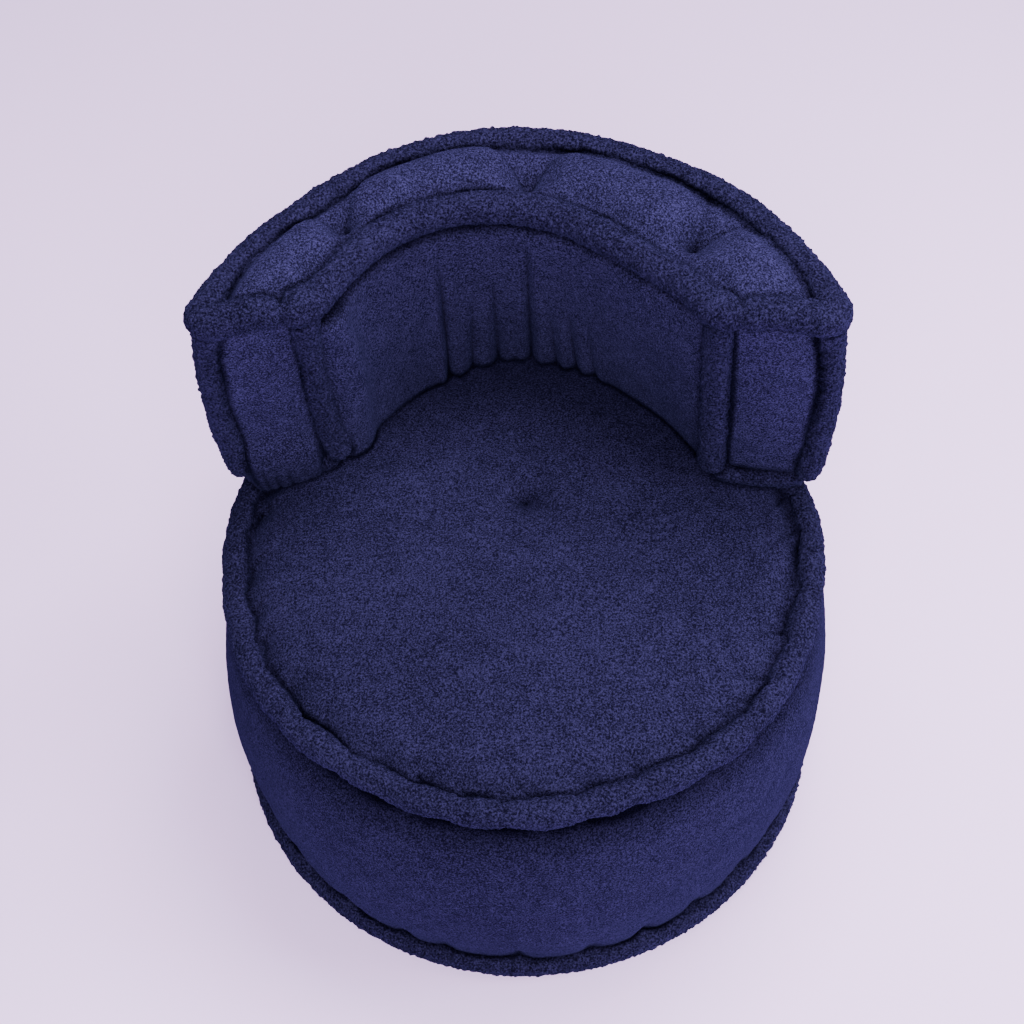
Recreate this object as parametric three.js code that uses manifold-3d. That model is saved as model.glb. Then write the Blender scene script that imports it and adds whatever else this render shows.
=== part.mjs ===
// Round floor chair: a stuffed drum seat with a half-ring backrest sewn on top of it.
// Every edge carries a stuffed roll, stitched by hand, so the edges run unevenly.
// Millimetres, +Z up. The origin is the middle of the flat underside. The sitter faces -Y.
import * as THREE from "three";
import { mergeVertices } from "three/addons/utils/BufferGeometryUtils.js";
import Module from "manifold-3d";

// Driving sizes
const seatDiameter = 600;
const rollDiameter = 32;
const seatRimHeight = 317;
const seatCrown = 35;
const chairHeight = 612;
const gap = 0.4;

// Sizes that follow from them
const rollRadius = rollDiameter / 2;
const seatRollLine = seatDiameter / 2 - rollRadius;
const baseRollLine = seatRollLine + 12;
const baseRollHeight = rollRadius - 2;
const wallBulge = 25;
const bendReach = 32;
const backRollTop = chairHeight - rollRadius;
const backRollFoot = seatRimHeight + rollDiameter;

// The stitched seat tuft, and the three tufts along the top of the backrest
const seatTuft = { x: 5, y: 55, depth: 9, reach: 26, pull: 5, pullReach: 80 };
const backTufts = [
  { angle: 42, across: 0.4, depth: 30, reach: 30 },
  { angle: 86.5, across: 0.36, depth: 32, reach: 32 },
  { angle: 131, across: 0.45, depth: 28, reach: 28 },
];

// How far the upright rolls bow outwards at half height
const cornerBow = { outer: 9, innerLeft: 7 };

// Gathers in the lower half of the backrest's inner wall, where it is drawn in at the seam
const gathers = [
  { angle: 112, depth: 8, top: 0.72 },
  { angle: 103, depth: 6, top: 0.5 },
  { angle: 96, depth: 7, top: 0.5 },
  { angle: 87, depth: 8, top: 0.68 },
  { angle: 78, depth: 6, top: 0.4 },
  { angle: 69, depth: 5, top: 0.42 },
];

// The long lines of the backrest in plan: radius by angle from +X towards +Y, and how far
// back of the middle each line ends at the right and at the left
const outerTopLine = {
  right: 50,
  left: 63,
  rows: [
    { angle: 10, radius: 291 },
    { angle: 18, radius: 289 },
    { angle: 30, radius: 286 },
    { angle: 45, radius: 287 },
    { angle: 61, radius: 283 },
    { angle: 77, radius: 289 },
    { angle: 96, radius: 292 },
    { angle: 115, radius: 287 },
    { angle: 135, radius: 279 },
    { angle: 154, radius: 286 },
    { angle: 168, radius: 292 },
  ],
};
const innerTopLine = {
  right: 60,
  left: 78,
  rows: [
    { angle: 19, radius: 188 },
    { angle: 27, radius: 188 },
    { angle: 36, radius: 182 },
    { angle: 46, radius: 178 },
    { angle: 57, radius: 179 },
    { angle: 70, radius: 188 },
    { angle: 80, radius: 197 },
    { angle: 91, radius: 204 },
    { angle: 101, radius: 209 },
    { angle: 115, radius: 213 },
    { angle: 129, radius: 210 },
    { angle: 140, radius: 205 },
    { angle: 149, radius: 203 },
    { angle: 158, radius: 205 },
  ],
};
const outerFootLine = {
  right: 68,
  left: 92,
  rows: [
    { angle: 12, radius: 292 },
    { angle: 40, radius: 285 },
    { angle: 90, radius: 284 },
    { angle: 140, radius: 285 },
    { angle: 163, radius: 292 },
  ],
};
const innerFootLine = {
  right: 82,
  left: 112,
  rows: [
    { angle: 22, radius: 210 },
    { angle: 36, radius: 212 },
    { angle: 56, radius: 221 },
    { angle: 68, radius: 231 },
    { angle: 79, radius: 240 },
    { angle: 90, radius: 248 },
    { angle: 102, radius: 238 },
    { angle: 114, radius: 224 },
    { angle: 128, radius: 214 },
    { angle: 141, radius: 210 },
    { angle: 150, radius: 214 },
  ],
};

const wasm = await Module();
wasm.setup();

const toRadians = THREE.MathUtils.degToRad;
const toDegrees = THREE.MathUtils.radToDeg;
const mix = THREE.MathUtils.lerp;
const hill = (distance, reach) => Math.exp(-((distance / reach) ** 2));

// Smooth function of the angle in degrees through a table of radii
function smoothTable(rows) {
  const angles = Float32Array.from(rows, (row) => row.angle);
  const radii = Float32Array.from(rows, (row) => row.radius);
  const track = new THREE.CubicInterpolant(angles, radii, 1);
  return (angle) => track.evaluate(angle)[0];
}

// Hand stitching pinches a roll at uneven steps along its length
function pinched(turn, seed) {
  return 1 + 0.05 * Math.sin(13 * turn + seed) + 0.04 * Math.sin(22 * turn + 2.3 * seed);
}

// A closed solid from a three.js geometry, and back
function solidOf(geometry) {
  const bare = geometry.clone();
  bare.deleteAttribute("normal");
  bare.deleteAttribute("uv");
  const merged = mergeVertices(bare, 1e-3);
  const mesh = new wasm.Mesh({
    numProp: 3,
    vertProperties: new Float32Array(merged.attributes.position.array),
    triVerts: new Uint32Array(merged.index.array),
  });
  return new wasm.Manifold(mesh);
}

function geometryOf(solid) {
  const mesh = solid.getMesh();
  const geometry = new THREE.BufferGeometry();
  geometry.setAttribute("position", new THREE.BufferAttribute(mesh.vertProperties, 3));
  geometry.setIndex(new THREE.BufferAttribute(mesh.triVerts, 1));
  geometry.computeVertexNormals();
  return geometry;
}

// Moves every vertex of a geometry by a function of its place
function reshape(geometry, move) {
  const position = geometry.attributes.position;
  const point = new THREE.Vector3();
  for (let i = 0; i < position.count; i++) {
    point.fromBufferAttribute(position, i);
    move(point);
    position.setXYZ(i, point.x, point.y, point.z);
  }
  return geometry;
}

// A stuffed roll along a curve. extra makes the fatter copy that cuts its neighbours.
function roll({ curve, steps, seed, closed = false }, extra = 0) {
  const sides = 8;
  const frames = curve.computeFrenetFrames(steps, closed);
  const bar = new THREE.CylinderGeometry(1, 1, 1, sides, steps, closed);
  return reshape(bar, (point) => {
    const step = Math.round((0.5 - point.y) * steps) % (closed ? steps : steps + 1);
    const share = step / steps;
    const radius = rollRadius * pinched(2 * Math.PI * share, seed) + extra;
    const middle = curve.getPointAt(share);
    const sideways = frames.normals[step].clone().multiplyScalar(point.x * radius);
    const across = frames.binormals[step].clone().multiplyScalar(point.z * radius);
    point.copy(middle).add(sideways).add(across);
    if (!closed && (step === 0 || step === steps)) {
      point.addScaledVector(frames.tangents[step], step === 0 ? -extra : extra);
    }
    point.z = Math.max(point.z, 0);
  });
}

// The seat rolls follow rings that waver a little
class RingLine extends THREE.Curve {
  constructor(radius, height, waver) {
    super();
    Object.assign(this, { radius, height, waver });
  }
  getPoint(t, target = new THREE.Vector3()) {
    const turn = 2 * Math.PI * t;
    const radius = this.radius + this.waver * Math.sin(7 * turn + 0.6);
    const height = this.height + 0.8 * this.waver * Math.sin(5 * turn + 1.9);
    return target.set(radius * Math.cos(turn), radius * Math.sin(turn), height);
  }
}

// One long line of the backrest: along = 0 is its right end and 1 its left end
function longLine({ right, left, rows }, height) {
  const radiusAt = smoothTable(rows);
  const start = Math.asin(right / rows[0].radius);
  const end = Math.PI - Math.asin(left / rows[rows.length - 1].radius);
  return (along) => {
    const angle = mix(start, end, along);
    const radius = radiusAt(toDegrees(angle));
    return new THREE.Vector3(radius * Math.cos(angle), radius * Math.sin(angle), height);
  };
}

const outerTop = longLine(outerTopLine, backRollTop);
const innerTop = longLine(innerTopLine, backRollTop);
const outerFoot = longLine(outerFootLine, backRollFoot);
const innerFoot = longLine(innerFootLine, backRollFoot);

// Points of a round bend at a corner, on the way from one point to another
function bend(from, corner, to) {
  const start = from.clone().sub(corner).setLength(bendReach);
  const end = to.clone().sub(corner).setLength(bendReach);
  const half = start.angleTo(end) / 2;
  const middle = start.clone().add(end).setLength(bendReach / Math.cos(half));
  const shares = [0, 0.25, 0.5, 0.75, 1];
  return shares.map((share) => {
    const spoke = start.clone().lerp(end, share).sub(middle);
    return spoke.setLength(bendReach * Math.tan(half)).add(middle).add(corner);
  });
}

// Line of a roll round the outer side and both ends of the backrest, and on round the inner
// side when it is closed
function panelLine(outer, inner, closed) {
  const points = closed ? [] : [inner(0), outer(0).lerp(inner(0), 0.68)];
  points.push(...bend(inner(0), outer(0), outer(0.05)));
  for (let i = 1; i < 20; i++) points.push(outer(mix(0.03, 0.97, i / 20)));
  points.push(...bend(outer(0.95), outer(1), inner(1)));
  if (closed) {
    points.push(...bend(outer(1), inner(1), inner(0.92)));
    for (let i = 1; i < 12; i++) points.push(inner(mix(0.95, 0.05, i / 12)));
    points.push(...bend(inner(0.08), inner(0), outer(0)));
  } else {
    points.push(outer(1).lerp(inner(1), 0.68), inner(1));
  }
  return new THREE.CatmullRomCurve3(points, closed, "centripetal");
}

// An upright roll at a corner of an end panel, bowed outwards. It stands under the bend of
// the top roll, so its head is drawn in from the corner. end is 0 at the right and 1 at the left.
function uprightLine(end, footLine, headLine, otherHead, bow) {
  const foot = footLine(end);
  const inward = mix(0.01, 0.99, end);
  const head = headLine(inward).lerp(otherHead(inward), 0.06);
  const middle = foot.clone().lerp(head, 0.5);
  middle.x += Math.sign(foot.x) * bow;
  return new THREE.CatmullRomCurve3([foot, middle, head]);
}

// Drum of the seat, with its crown, its tuft and its bulging wall
function seatBody(lift = 0) {
  const profile = [0, 90, 180, 250, 278].map((radius) => new THREE.Vector2(radius, 0));
  const wallRows = 8;
  for (let i = 0; i <= wallRows; i++) {
    const up = i / wallRows;
    const line = mix(baseRollLine, seatRollLine, up);
    const bulge = wallBulge * Math.sin(Math.PI * up) ** 0.8;
    profile.push(new THREE.Vector2(line + bulge, mix(baseRollHeight, seatRimHeight, up)));
  }
  for (const radius of [262, 232, 196, 160, 128, 100, 76, 54, 30, 0]) {
    const crown = 6 + (seatCrown - 6) * (1 - (radius / seatRollLine) ** 4);
    profile.push(new THREE.Vector2(radius, seatRimHeight + crown + lift));
  }
  const drum = new THREE.LatheGeometry(profile, 60);
  drum.rotateX(Math.PI / 2);
  return reshape(drum, (point) => {
    const turn = Math.atan2(point.y, point.x);
    const radius = Math.hypot(point.x, point.y);
    const up = point.z / seatRimHeight;
    if (radius > 1 && up > 0.12 && up < 0.95) {
      const sway = 2.5 * Math.sin(3 * turn + 1) + 1.5 * Math.sin(8 * turn);
      const swell = 1 + (sway * Math.sin(Math.PI * up)) / radius;
      point.x *= swell;
      point.y *= swell;
    }
    if (up > 1) {
      const away = Math.hypot(point.x - seatTuft.x, point.y - seatTuft.y);
      point.z -= seatTuft.depth * hill(away, seatTuft.reach);
      point.z -= seatTuft.pull * hill(away, seatTuft.pullReach);
    }
  });
}

// Height of the backrest's top panel above the line of its roll: puffs between the tufts
function topPuff(angle, across) {
  const crossing = Math.sin(Math.PI * across) ** 0.7;
  const ends = Math.max(0, Math.min(1, Math.min(angle - 12, 166 - angle) / 14));
  let height = 22 * crossing * Math.sqrt(ends);
  for (const tuft of backTufts) {
    const along = toRadians(angle - tuft.angle) * 230;
    const off = (across - tuft.across) * 80;
    height -= tuft.depth * crossing * hill(Math.hypot(along, off), tuft.reach);
  }
  return height;
}

// How far the gathers draw the inner wall back, up = 0 at the foot and 1 at the top
function gathered(angle, up) {
  let depth = 0;
  for (const fold of gathers) {
    const rise = Math.max(0, 1 - up / fold.top);
    depth += fold.depth * Math.sqrt(rise) * hill(angle - fold.angle, 2.6);
  }
  return depth;
}

// Backrest body: a box bent round the rear edge of the seat
function backBody() {
  const box = new THREE.BoxGeometry(1, 1, 1, 46, 6, 7);
  return reshape(box, (point) => {
    const along = point.x + 0.5;
    const across = 0.5 - point.y;
    const up = point.z + 0.5;
    const inner = innerFoot(along).lerp(innerTop(along), up);
    const outer = outerFoot(along).lerp(outerTop(along), up);
    const place = inner.lerp(outer, across);
    const angle = Math.atan2(place.y, place.x);
    const turn = toDegrees(angle);
    const nearEnd = THREE.MathUtils.smoothstep(Math.min(along, 1 - along), 0, 0.09);
    const bulge = Math.sin(Math.PI * up) ** 0.8;
    const innerSide = gathered(turn, up) - 12 * bulge * nearEnd;
    const outerSide = bulge * mix(cornerBow.outer, 15, nearEnd);
    const side = mix(innerSide, outerSide, across);
    place.x += side * Math.cos(angle);
    place.y += side * Math.sin(angle);
    if (along === 0 || along === 1) {
      place.y -= 14 * (Math.sin(Math.PI * across) * Math.sin(Math.PI * up)) ** 0.7;
    }
    place.z += up * topPuff(turn, across) - 26 * (1 - up) ** 4;
    point.copy(place);
  });
}

const rolls = {
  seat_top_roll: {
    curve: new RingLine(seatRollLine, seatRimHeight, 1.6),
    steps: 60,
    seed: 0.4,
    closed: true,
  },
  seat_bottom_roll: {
    curve: new RingLine(baseRollLine, baseRollHeight, 0),
    steps: 60,
    seed: 1.7,
    closed: true,
  },
  back_top_roll: {
    curve: panelLine(outerTop, innerTop, true),
    steps: 68,
    seed: 2.6,
    closed: true,
  },
  back_bottom_roll: {
    curve: panelLine(outerFoot, innerFoot, false),
    steps: 42,
    seed: 3.9,
  },
  back_upright_roll_outer_right: {
    curve: uprightLine(0, outerFoot, outerTop, innerTop, cornerBow.outer),
    steps: 7,
    seed: 5.1,
  },
  back_upright_roll_inner_right: {
    curve: uprightLine(0, innerFoot, innerTop, outerTop, 0),
    steps: 7,
    seed: 6.3,
  },
  back_upright_roll_inner_left: {
    curve: uprightLine(1, innerFoot, innerTop, outerTop, cornerBow.innerLeft),
    steps: 7,
    seed: 7.2,
  },
  back_upright_roll_outer_left: {
    curve: uprightLine(1, outerFoot, outerTop, innerTop, cornerBow.outer),
    steps: 7,
    seed: 8.8,
  },
};

const solids = {};
const cutters = {};
for (const [name, sizes] of Object.entries(rolls)) {
  solids[name] = solidOf(roll(sizes));
  cutters[name] = solidOf(roll(sizes, gap));
}

// Each piece gives way to the ones sewn on before it. Crumbs left by a cut are dropped.
function cut(name, ...others) {
  for (const other of others) solids[name] = solids[name].subtract(cutters[other]);
  const bodies = solids[name].simplify(0.04).decompose();
  solids[name] = bodies.sort((a, b) => b.volume() - a.volume())[0];
}

solids.seat_cushion = solidOf(seatBody());
cutters.seat_cushion = solidOf(seatBody(1.8 * gap));
solids.back_cushion = solidOf(backBody());
cut("seat_cushion", "seat_top_roll", "seat_bottom_roll");
cut("back_bottom_roll", "seat_top_roll", "seat_cushion");
for (const name of Object.keys(rolls).filter((other) => other.includes("upright"))) {
  cut(name, "back_top_roll", "back_bottom_roll", "seat_top_roll", "seat_cushion");
  cut("back_cushion", name);
}
cut("back_cushion", "back_top_roll", "back_bottom_roll", "seat_top_roll", "seat_cushion");

const cloth = { color: 0x24265a, roughness: 0.95, metalness: 0 };
const chair = new THREE.Group();
for (const [name, solid] of Object.entries(solids)) {
  const piece = new THREE.Mesh(geometryOf(solid), new THREE.MeshStandardMaterial(cloth));
  piece.name = name;
  chair.add(piece);
}

export default chair;
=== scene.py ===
import math

import bmesh
import bpy
import numpy as np
from mathutils import Matrix, Vector
from mathutils.kdtree import KDTree


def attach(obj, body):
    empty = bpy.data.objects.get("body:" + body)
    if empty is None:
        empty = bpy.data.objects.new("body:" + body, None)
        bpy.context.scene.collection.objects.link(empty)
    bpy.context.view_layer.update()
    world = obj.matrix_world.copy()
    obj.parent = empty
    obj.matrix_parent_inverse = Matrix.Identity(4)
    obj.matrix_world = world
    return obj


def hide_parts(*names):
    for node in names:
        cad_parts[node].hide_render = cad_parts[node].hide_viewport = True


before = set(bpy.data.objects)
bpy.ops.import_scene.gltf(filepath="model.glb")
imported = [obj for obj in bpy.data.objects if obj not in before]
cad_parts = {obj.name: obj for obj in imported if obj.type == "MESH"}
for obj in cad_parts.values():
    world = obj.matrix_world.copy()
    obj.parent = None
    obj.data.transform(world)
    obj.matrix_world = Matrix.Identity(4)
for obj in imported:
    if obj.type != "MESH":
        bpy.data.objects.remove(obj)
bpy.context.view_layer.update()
print("frame loaded:", len(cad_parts), "solids")

scene = bpy.context.scene


def linkObject(name, mesh):
    made = bpy.data.objects.new(name, mesh)
    scene.collection.objects.link(made)
    return made


def linkMesh(name, points, edges, faces):
    mesh = bpy.data.meshes.new(name)
    mesh.from_pydata(np.asarray(points).tolist(), edges, faces)
    mesh.update()
    return linkObject(name, mesh)


def readVectors(rows, key):
    flat = np.empty(len(rows) * 3, np.float32)
    rows.foreach_get(key, flat)
    return flat.reshape(-1, 3).astype(float)


def pointsOf(piece):
    return readVectors(piece.data.vertices, "co")


def normalsOf(piece):
    return readVectors(piece.data.vertex_normals, "vector")


def setPoints(piece, points):
    piece.data.vertices.foreach_set("co", points.astype(np.float32).ravel())
    piece.data.update()


# Turns the finished result of an object's modifiers into its own plain mesh
def settle(piece):
    graph = bpy.context.evaluated_depsgraph_get()
    plain = bpy.data.meshes.new_from_object(piece.evaluated_get(graph))
    piece.modifiers.clear()
    piece.data = plain


# Evens out a mesh with a few rounds of smoothing
def calm(piece, rounds):
    modifier = piece.modifiers.new("calm", "SMOOTH")
    modifier.factor = 0.5
    modifier.iterations = rounds
    settle(piece)


def dress(piece, material):
    piece.data.materials.clear()
    piece.data.materials.append(material)


def faceOutwards(piece, mergeWithin=0):
    work = bmesh.new()
    work.from_mesh(piece.data)
    if mergeWithin:
        bmesh.ops.remove_doubles(work, verts=work.verts, dist=mergeWithin)
    bmesh.ops.recalc_face_normals(work, faces=work.faces)
    work.to_mesh(piece.data)
    work.free()
    for face in piece.data.polygons:
        face.use_smooth = True


def hill(distance, reach):
    return np.exp(-((distance / reach) ** 2))


def peak(distance, reach):
    return np.exp(-np.abs(distance) / reach)


def ramp(value, low, high):
    share = np.clip((value - low) / (high - low), 0, 1)
    return share * share * (3 - 2 * share)


# 0 at both ends of a share from 0 to 1, and 1 in its middle
def arch(share, power=1.0):
    return np.sin(math.pi * np.clip(share, 0, 1)) ** power


def unit(vectors):
    return vectors / np.linalg.norm(vectors, axis=1)[:, None]


# Points at a distance from the axis, an angle round it and a height
def roundAxis(radius, angle, height):
    return np.stack(np.broadcast_arrays(radius * np.cos(angle), radius * np.sin(angle), height), -1)


# Gradient noise at an array of points, about -1 to 1. size is the length of one lump in metres.
def lumps(points, size, seed):
    rng = np.random.default_rng(seed)
    order = rng.permutation(512)
    slopes = unit(rng.normal(size=(512, 3)))
    scaled = points / size
    cell = np.floor(scaled).astype(int)
    part = scaled - cell
    fade = part ** 3 * (part * (part * 6 - 15) + 10)
    total = np.zeros(len(points))
    for cx in (0, 1):
        for cy in (0, 1):
            for cz in (0, 1):
                corner = cell + (cx, cy, cz)
                pick = order[(order[(order[corner[:, 0] % 512] + corner[:, 1]) % 512] + corner[:, 2]) % 512]
                reach = part - (cx, cy, cz)
                weight = np.ones(len(points))
                for axis, side in enumerate((cx, cy, cz)):
                    weight *= fade[:, axis] if side else 1 - fade[:, axis]
                total += weight * np.sum(slopes[pick] * reach, axis=1)
    return total * 1.6


# Several sizes of lumps at once, each given as its height, size and seed
def lumpy(points, layers):
    return sum(height * lumps(points, size, seed) for height, size, seed in layers)


# Uneven hand-stitch places along a run of the given length
def stitchPlaces(length, step, seed, uneven=0.26):
    rng = np.random.default_rng(seed)
    count = max(2, round(length / step))
    return (np.arange(count) + rng.uniform(-uneven, uneven, count)) * length / count


# 1 at a stitch, falling away to both sides
def stitchPull(along, length, places, reach, closed=True):
    pull = np.zeros(len(along))
    for place in places:
        away = np.abs(along - place)
        if closed:
            away = np.minimum(away, length - away)
        pull = np.maximum(pull, peak(away, reach))
    return pull


# 0 just after a stitch, rising evenly to 1 at the next one
def stitchSaw(along, length, places):
    stops = np.concatenate([[places[-1] - length], places, [places[0] + length]])
    after = np.clip(np.searchsorted(stops, along, side="right") - 1, 0, len(stops) - 2)
    return (along - stops[after]) / (stops[after + 1] - stops[after])


# One node of a tree, with its inputs joined or set
def addNode(tree, kind, inputs=(), **settings):
    node = tree.nodes.new(kind)
    for key, value in settings.items():
        setattr(node, key, value)
    for slot, value in dict(inputs).items():
        if isinstance(value, bpy.types.NodeSocket):
            tree.links.new(value, node.inputs[slot])
        else:
            node.inputs[slot].default_value = value
    return node


# Looped pile: fine curls with dark pits between them, in a navy that wanders a little
pileLook = {
    "pit": (0.0036, 0.0029, 0.0100), "pitAt": 0.49,
    "body": (0.0110, 0.0093, 0.0308), "bodyAt": 0.62,
    "tip": (0.0238, 0.0200, 0.0645), "tipAt": 0.78,
    "curlScale": 590,
    "clumpScale": 70, "clumpShare": 0.14,
    "wanderScale": 9, "wanderShare": 0.10,
    "relief": 0.0012,
    "roughness": 0.95,
    "sheen": 0.025, "sheenRoughness": 0.5, "sheenTint": (0.3, 0.3, 1, 1),
    # how dark the painted shade of the crease attribute goes
    "creaseShade": 0.93,
}


# curl and relief scale the size and height of the curls, shade the tone; between the copies the tone differs
# as painted light
def pileMaterial(name, look, curl, relief, shade):
    def toned(part):
        return [value * shade for value in look[part]] + [1]

    made = bpy.data.materials.new(name)
    made.use_nodes = True
    tree = made.node_tree
    shader = tree.nodes["Principled BSDF"]
    for slot, value in (("Roughness", look["roughness"]), ("Specular IOR Level", 0.0),
                        ("Sheen Weight", look["sheen"]), ("Sheen Roughness", look["sheenRoughness"]),
                        ("Sheen Tint", look["sheenTint"])):
        shader.inputs[slot].default_value = value
    place = addNode(tree, "ShaderNodeTexCoord").outputs["Object"]
    loops = addNode(tree, "ShaderNodeTexNoise", {
        "Vector": place, "Scale": look["curlScale"] * curl, "Detail": 1.5, "Roughness": 0.6,
        "Distortion": 0.4})
    clumps = addNode(tree, "ShaderNodeTexNoise", {"Vector": place, "Scale": look["clumpScale"], "Detail": 2})
    wander = addNode(tree, "ShaderNodeTexNoise", {"Vector": place, "Scale": look["wanderScale"], "Detail": 2})
    mixed = loops.outputs["Fac"]
    for noise, share in ((clumps, look["clumpShare"]), (wander, look["wanderShare"])):
        mixed = addNode(tree, "ShaderNodeMath", {0: noise.outputs["Fac"], 1: share, 2: mixed},
                        operation="MULTIPLY_ADD").outputs["Value"]
    tone = addNode(tree, "ShaderNodeValToRGB", {"Fac": mixed})
    stops = tone.color_ramp.elements
    stops[0].position, stops[0].color = look["pitAt"], toned("pit")
    stops[1].position, stops[1].color = look["tipAt"], toned("tip")
    stops.new(look["bodyAt"]).color = toned("body")
    # painted shade: the crease attribute darkens the pile colour in seams, folds and under the rolls
    crease = addNode(tree, "ShaderNodeAttribute", attribute_name="crease").outputs["Fac"]
    paintedShadeFactor = addNode(tree, "ShaderNodeMath", {0: crease, 1: -look["creaseShade"], 2: 1.0},
                   operation="MULTIPLY_ADD")
    shaded = addNode(tree, "ShaderNodeVectorMath", {0: tone.outputs["Color"], "Scale": paintedShadeFactor.outputs["Value"]},
                     operation="SCALE")
    tree.links.new(shaded.outputs["Vector"], shader.inputs["Base Color"])
    raised = addNode(tree, "ShaderNodeBump", {
        "Strength": 1, "Distance": look["relief"] * relief, "Height": loops.outputs["Fac"]})
    tree.links.new(raised.outputs["Normal"], shader.inputs["Normal"])
    return made


# three copies of one pile: the backrest's is painted lighter than the seat's, as painted light where more
# light falls on the backrest, and the rolls' copy is darker
seatPile = pileMaterial("navySeatPile", pileLook, curl=1.0, relief=0.8, shade=0.79)
backPile = pileMaterial("navyBackPile", pileLook, curl=1.0, relief=1.0, shade=1.12)
rollPile = pileMaterial("navyRollPile", pileLook, curl=0.85, relief=1.3, shade=0.76)
print("finishes made")


# Geometry Nodes: a stuffed roll along a path of edges. The points of the path carry where
# the path runs, how the roll swells, and the pull of a narrow groove and of broad stitches.
rollInputs = {"Radius": "Float", "Sides": "Int", "Nub Height": "Float", "Nub Size": "Float",
              "Seed": "Float", "Pile": "Material"}
pathValues = {"pathPlace": "FLOAT_VECTOR", "swell": "FLOAT", "groove": "FLOAT_VECTOR", "bite": "FLOAT_VECTOR"}
pullSharpness = {"groove": 9.0, "bite": 2.5}
nubShares = {"curls": 1.6, "pits": 0.7, "level": 0.42}


def buildRollTree():
    tree = bpy.data.node_groups.new("stuffedRoll", "GeometryNodeTree")
    tree.interface.new_socket("Geometry", in_out="INPUT", socket_type="NodeSocketGeometry")
    for label, kind in rollInputs.items():
        tree.interface.new_socket(label, in_out="INPUT", socket_type="NodeSocket" + kind)
    tree.interface.new_socket("Geometry", in_out="OUTPUT", socket_type="NodeSocketGeometry")
    given = addNode(tree, "NodeGroupInput").outputs
    read = {name: addNode(tree, "GeometryNodeInputNamedAttribute", {"Name": name}, data_type=kind).outputs[0]
            for name, kind in pathValues.items()}

    def vector(operation, slots):
        return addNode(tree, "ShaderNodeVectorMath", slots, operation=operation)

    def maths(operation, first, second):
        return addNode(tree, "ShaderNodeMath", {0: first, 1: second}, operation=operation).outputs[0]

    path = addNode(tree, "GeometryNodeMeshToCurve", {"Mesh": given["Geometry"]})
    ring = addNode(tree, "GeometryNodeCurvePrimitiveCircle", {
        "Resolution": given["Sides"], "Radius": given["Radius"]})
    tube = addNode(tree, "GeometryNodeCurveToMesh", {
        "Curve": path.outputs["Curve"], "Profile Curve": ring.outputs["Curve"], "Fill Caps": True})
    place = addNode(tree, "GeometryNodeInputPosition").outputs["Position"]
    spoke = vector("SUBTRACT", {0: place, 1: read["pathPlace"]}).outputs[0]
    facing = vector("NORMALIZE", {0: spoke}).outputs[0]
    swollen = vector("SCALE", {0: spoke, "Scale": read["swell"]}).outputs[0]
    pulls = []
    for name, sharpness in pullSharpness.items():
        depth = vector("LENGTH", {0: read[name]}).outputs["Value"]
        towards = vector("NORMALIZE", {0: read[name]}).outputs[0]
        near = vector("DOT_PRODUCT", {0: facing, 1: towards}).outputs["Value"]
        pulls.append(maths("MULTIPLY", maths("POWER", maths("MAXIMUM", near, 0.0), sharpness), depth))
    scale = maths("DIVIDE", 1.0, given["Nub Size"])
    nubs = addNode(tree, "ShaderNodeTexVoronoi", {"Vector": place, "W": given["Seed"], "Scale": scale},
                   voronoi_dimensions="4D", feature="F1")
    curls = addNode(tree, "ShaderNodeTexNoise", {
        "Vector": place, "W": given["Seed"], "Scale": scale, "Detail": 2.0, "Distortion": 0.5},
        noise_dimensions="4D")
    bumps = maths("SUBTRACT", maths("MULTIPLY", curls.outputs[0], nubShares["curls"]),
                  maths("MULTIPLY", nubs.outputs["Distance"], nubShares["pits"]))
    height = maths("MULTIPLY", maths("SUBTRACT", bumps, nubShares["level"]), given["Nub Height"])
    outwards = maths("SUBTRACT", maths("SUBTRACT", height, pulls[0]), pulls[1])
    moved = vector("ADD", {0: vector("ADD", {0: read["pathPlace"], 1: swollen}).outputs[0],
                           1: vector("SCALE", {0: facing, "Scale": outwards}).outputs[0]}).outputs[0]
    onFloor = vector("MAXIMUM", {0: moved, 1: (-9, -9, 0)}).outputs[0]  # nothing goes below the floor
    shaped = addNode(tree, "GeometryNodeSetPosition", {"Geometry": tube.outputs["Mesh"], "Position": onFloor})
    smooth = addNode(tree, "GeometryNodeSetShadeSmooth", {"Geometry": shaped.outputs["Geometry"]})
    real = addNode(tree, "GeometryNodeRealizeInstances", {"Geometry": smooth.outputs["Geometry"]})
    dressed = addNode(tree, "GeometryNodeSetMaterial", {
        "Geometry": real.outputs["Geometry"], "Material": given["Pile"]})
    addNode(tree, "NodeGroupOutput", {"Geometry": dressed.outputs["Geometry"]})
    return tree


rollTree = buildRollTree()
rollSockets = {item.name: item.identifier for item in rollTree.interface.items_tree if item.in_out == "INPUT"}


def headingOf(line, closed):
    return np.roll(line, -1, axis=0) - np.roll(line, 1, axis=0) if closed else np.gradient(line, axis=0)


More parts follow.
